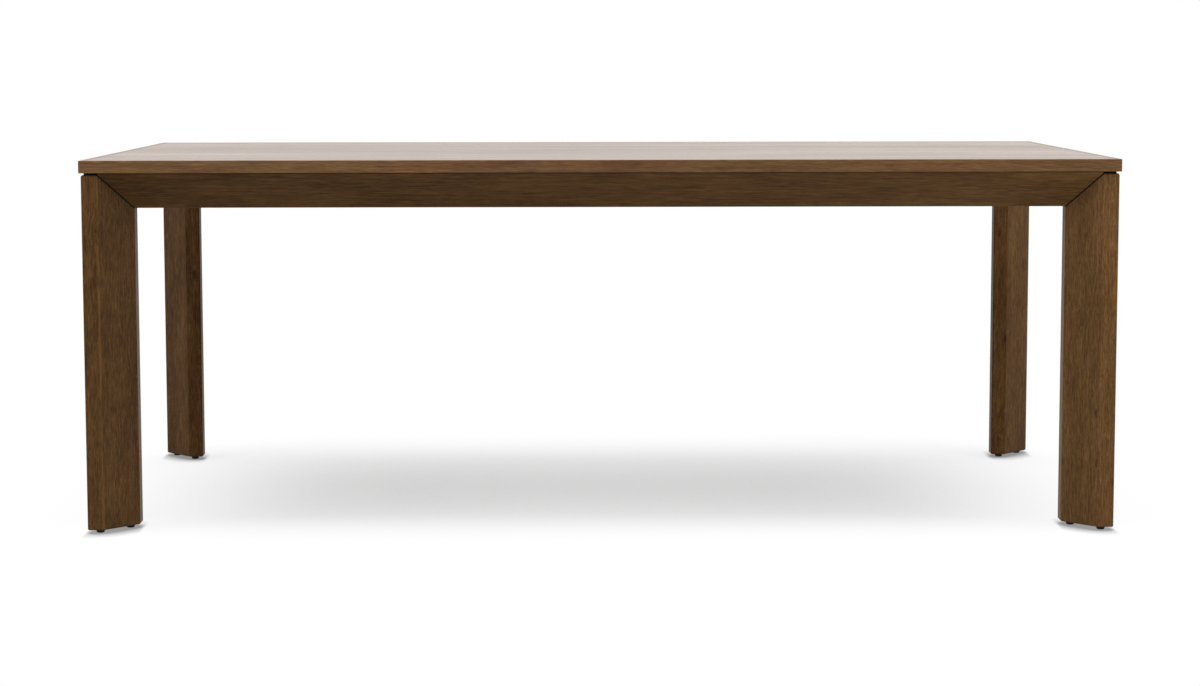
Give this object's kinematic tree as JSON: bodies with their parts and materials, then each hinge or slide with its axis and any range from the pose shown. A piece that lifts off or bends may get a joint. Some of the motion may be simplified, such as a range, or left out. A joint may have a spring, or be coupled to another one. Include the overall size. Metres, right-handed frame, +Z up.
{
  "type": "parsons dining table",
  "caption": "Rectangular dining table with a thin square-edged top, sloping aprons mitred to bevelled corner legs, and a narrow black gap between the top and each leg.",
  "frame": {"origin": "on the floor under the middle of the table top", "axes": "+X along the table's length, -Y towards the front long side, +Z up"},
  "size_m": [2.105, 1, 0.762],
  "materials": {
    "stained_wood": "brown stain under a satin lacquer",
    "top_veneer": "brown stained veneer under a satin lacquer",
    "black_stain": "matt black stain",
    "inner_hardwood": "planed hardwood, unfinished",
    "zinc_steel": "bright zinc plate",
    "black_nylon": "moulded nylon"
  },
  "bodies": {
    "root": {"apron_back": "stained_wood", "apron_front": "stained_wood", "apron_left": "stained_wood", "apron_right": "stained_wood", "batten_back": "inner_hardwood", "batten_front": "inner_hardwood", "batten_left": "inner_hardwood", "batten_right": "inner_hardwood", "corner_block_back_left": "inner_hardwood", "corner_block_back_right": "inner_hardwood", "corner_block_front_left": "inner_hardwood", "corner_block_front_right": "inner_hardwood", "cross_rail_left": "inner_hardwood", "cross_rail_right": "inner_hardwood", "glides_back_left": "black_nylon", "glides_back_right": "black_nylon", "glides_front_left": "black_nylon", "glides_front_right": "black_nylon", "hanger_bolts": "zinc_steel", "hanger_nuts": "zinc_steel", "hanger_washers": "zinc_steel", "leg_back_left": "stained_wood", "leg_back_right": "stained_wood", "leg_front_left": "stained_wood", "leg_front_right": "stained_wood", "lipping_back": "stained_wood", "lipping_front": "stained_wood", "lipping_left": "stained_wood", "lipping_right": "stained_wood", "spacer_back": "black_stain", "spacer_front": "black_stain", "spacer_left": "black_stain", "spacer_right": "black_stain", "top_panel": "top_veneer", "top_screws": "zinc_steel"}
  },
  "joints": []
}
